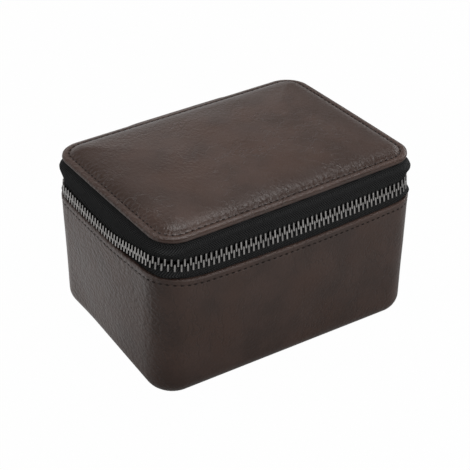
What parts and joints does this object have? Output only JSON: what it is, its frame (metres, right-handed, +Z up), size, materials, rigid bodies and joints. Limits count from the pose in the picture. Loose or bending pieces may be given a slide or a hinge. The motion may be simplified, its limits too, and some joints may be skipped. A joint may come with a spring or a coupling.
{
  "type": "watch travel case",
  "caption": "Zip-around leather watch travel case with a padded lid on a leather spine, a metal zip with slider and pull, and two watch cushions.",
  "frame": {"origin": "centre of the underside, on the surface that the case stands on", "axes": "+X along the long front, the front faces -Y, the spine hinge is at +Y, +Z up"},
  "size_m": [0.12, 0.0934, 0.075],
  "materials": {
    "case_leather": "pebbled, semi-matt, dark brown",
    "board": "grey fibre board",
    "lining": "brushed microsuede",
    "cushion_cover": "brushed microsuede",
    "foam": "foam",
    "zip_tape": "black herringbone tape",
    "zip_metal": "nickel-plated, polished",
    "slider_metal": "nickel-plated, polished",
    "pull_leather": "pebbled, semi-matt, dark brown"
  },
  "bodies": {
    "base": {"base_wall_leather": "case_leather", "base_bottom_leather": "case_leather", "base_wall_board": "board", "base_floor_board": "board", "base_wall_lining": "lining", "base_floor_lining": "lining", "compartment_divider": "lining", "watch_cushion_left": "cushion_cover", "watch_cushion_right": "cushion_cover", "zip_tape_lower": "zip_tape", "zip_teeth_lower": "zip_metal", "zip_teeth_lower_slider_end": "zip_metal", "zip_stops_lower": "zip_metal", "spine_leather": "case_leather", "spine_lining": "lining"},
    "lid": {"lid_top_leather": "case_leather", "lid_board": "board", "lid_crown_foam": "foam", "lid_lining": "lining", "lid_lining_foam": "foam", "zip_tape_upper": "zip_tape", "zip_tape_upper_slider_end": "zip_tape", "zip_teeth_upper": "zip_metal", "zip_teeth_upper_slider_end": "zip_metal", "zip_stops_upper": "zip_metal"},
    "slider": {"slider_body": "slider_metal", "slider_bail": "slider_metal"},
    "pull": {"pull_link": "slider_metal", "pull_tab": "pull_leather", "pull_eyelet": "slider_metal"}
  },
  "joints": [
    {"name": "lid_hinge", "type": "hinge", "parent": "base", "child": "lid", "pos_m": [0, 0.04405, 0.0616], "axis": [-1, 0, 0], "range_deg": [0, 110], "deforming": ["spine_leather", "spine_lining", "zip_tape_upper_slider_end", "zip_teeth_upper_slider_end", "zip_stops_upper"]},
    {"name": "slider_slide", "type": "slide", "parent": "base", "child": "slider", "axis": [1, 0, 0], "range_m": [0, 0.006], "deforming": ["zip_teeth_lower_slider_end"]},
    {"name": "pull_swing", "type": "hinge", "parent": "slider", "child": "pull", "pos_m": [0.03825, 0.04725, 0.0616], "axis": [1, 0, 0], "range_deg": [0, 170]}
  ]
}
